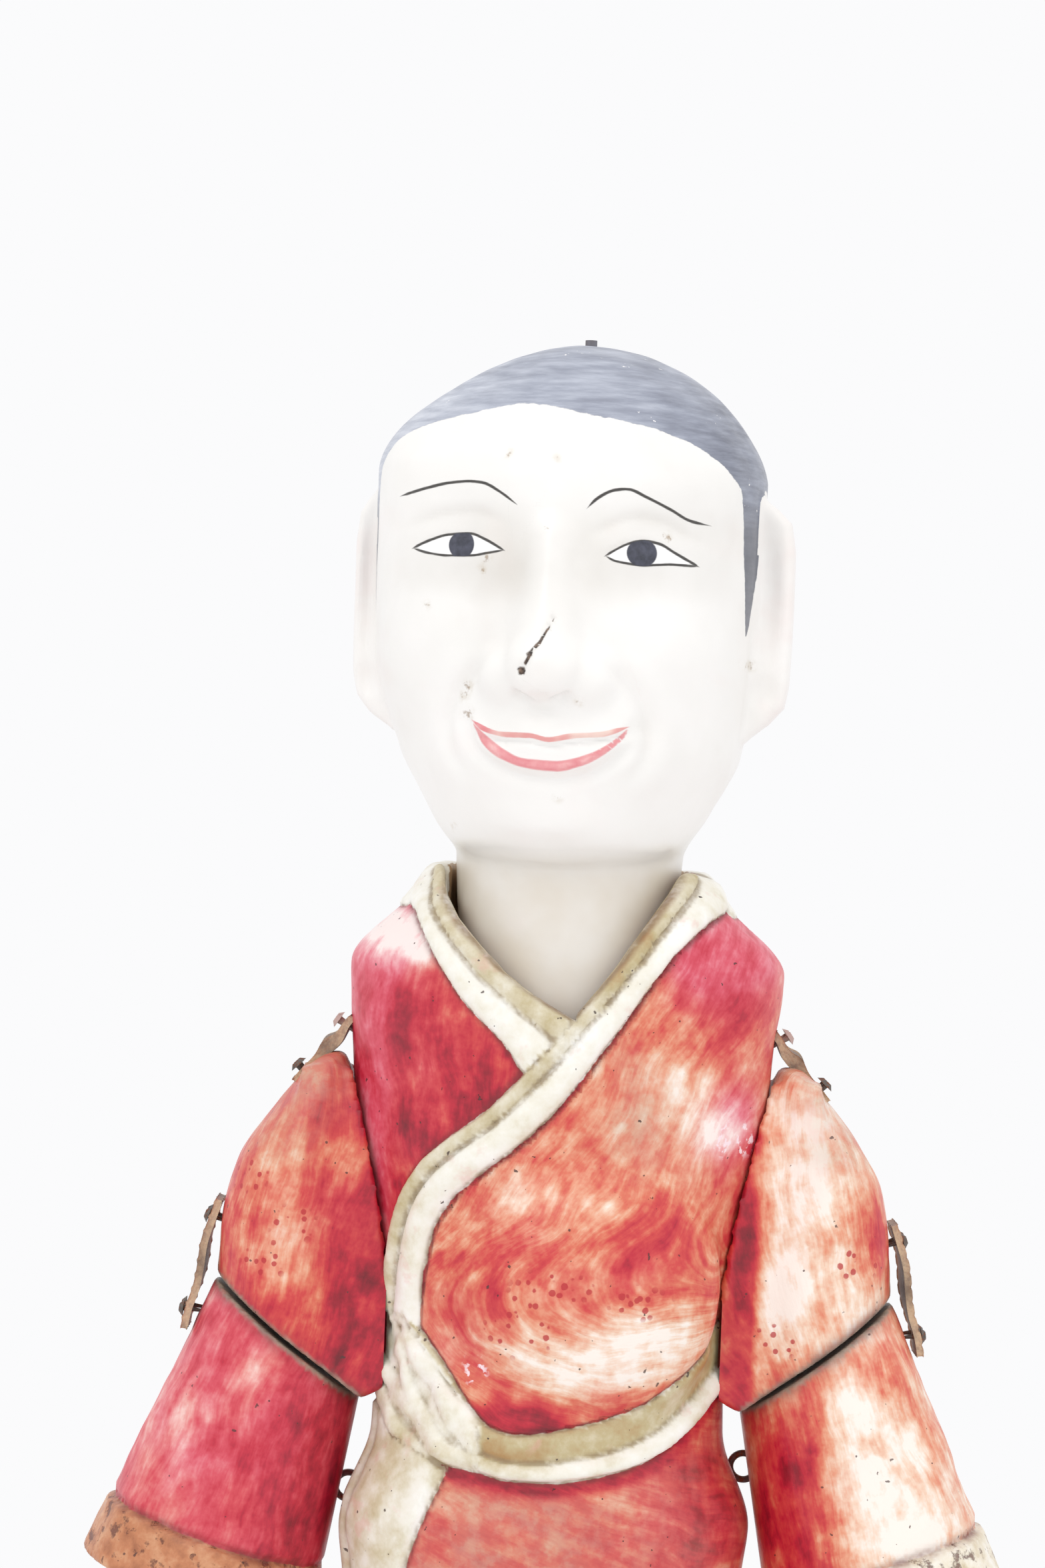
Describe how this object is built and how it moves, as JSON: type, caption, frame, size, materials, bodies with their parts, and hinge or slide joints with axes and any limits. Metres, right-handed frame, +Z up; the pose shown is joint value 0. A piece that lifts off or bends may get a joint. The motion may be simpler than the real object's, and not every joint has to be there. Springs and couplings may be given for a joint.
{
  "type": "carved wooden puppet",
  "caption": "Standing carved and painted wooden puppet in a crossed red robe, with a turning head, strap-hinged arms and a base socketed for a pole.",
  "frame": {"origin": "on the underside of the base, at the mouth of the pole socket", "axes": "+Z up along the figure, -Y the way the figure faces, +X to the figure's own left"},
  "size_m": [0.1858, 0.132, 0.449],
  "materials": {
    "white_lacquer": "white gesso and lacquer over wood, satin",
    "red_robe_paint": "worn red lacquer paint over wood",
    "black_lacquer": "black-brown lacquer over wood",
    "bare_wood": "unpainted light wood",
    "bamboo": "split bamboo",
    "shoe_lacquer": "dark lacquer over wood",
    "strap_leather": "old dry leather",
    "tack_iron": "aged iron",
    "ferrule_brass": "dull brass"
  },
  "bodies": {
    "figure": {"body_block": "red_robe_paint", "base_block": "black_lacquer", "pole_ferrule": "ferrule_brass", "base_dowels": "bare_wood", "shoe_left": "shoe_lacquer", "shoe_right": "shoe_lacquer", "shoe_pegs": "bamboo", "neck_pin": "bamboo", "neck_washer": "strap_leather", "shoulder_strap_left": "strap_leather", "shoulder_strap_right": "strap_leather", "shoulder_tacks": "tack_iron", "hip_guide_eye_left": "tack_iron", "hip_guide_eye_right": "tack_iron"},
    "head": {"head": "white_lacquer", "neck_dowel": "bare_wood", "crown_peg": "bare_wood"},
    "upper_arm_left": {"upper_arm_left": "red_robe_paint", "elbow_strap_left": "strap_leather", "upper_arm_tacks_left": "tack_iron"},
    "forearm_left": {"forearm_left": "red_robe_paint", "forearm_tacks_left": "tack_iron", "hand_left": "white_lacquer", "wrist_peg_left": "bamboo"},
    "upper_arm_right": {"upper_arm_right": "red_robe_paint", "elbow_strap_right": "strap_leather", "upper_arm_tacks_right": "tack_iron"},
    "forearm_right": {"forearm_right": "red_robe_paint", "forearm_tacks_right": "tack_iron", "hand_right": "white_lacquer", "wrist_peg_right": "bamboo"}
  },
  "joints": [
    {"name": "head_turn", "type": "hinge", "parent": "figure", "child": "head", "pos_m": [0, 0, 0.2998], "axis": [0, 0, 1], "range_deg": [-51, 69]},
    {"name": "shoulder_left", "type": "hinge", "parent": "figure", "child": "upper_arm_left", "pos_m": [0.0442, 0, 0.3046], "axis": [0, -1, 0], "range_deg": [0, 75], "deforming": ["shoulder_strap_left"]},
    {"name": "elbow_left", "type": "hinge", "parent": "upper_arm_left", "child": "forearm_left", "pos_m": [0.0696, 0, 0.2574], "axis": [0, -1, 0], "range_deg": [0, 80], "deforming": ["elbow_strap_left"]},
    {"name": "shoulder_right", "type": "hinge", "parent": "figure", "child": "upper_arm_right", "pos_m": [-0.0442, 0, 0.3046], "axis": [0, 1, 0], "range_deg": [0, 75], "deforming": ["shoulder_strap_right"]},
    {"name": "elbow_right", "type": "hinge", "parent": "upper_arm_right", "child": "forearm_right", "pos_m": [-0.0696, 0, 0.2574], "axis": [0, 1, 0], "range_deg": [0, 80], "deforming": ["elbow_strap_right"]}
  ]
}
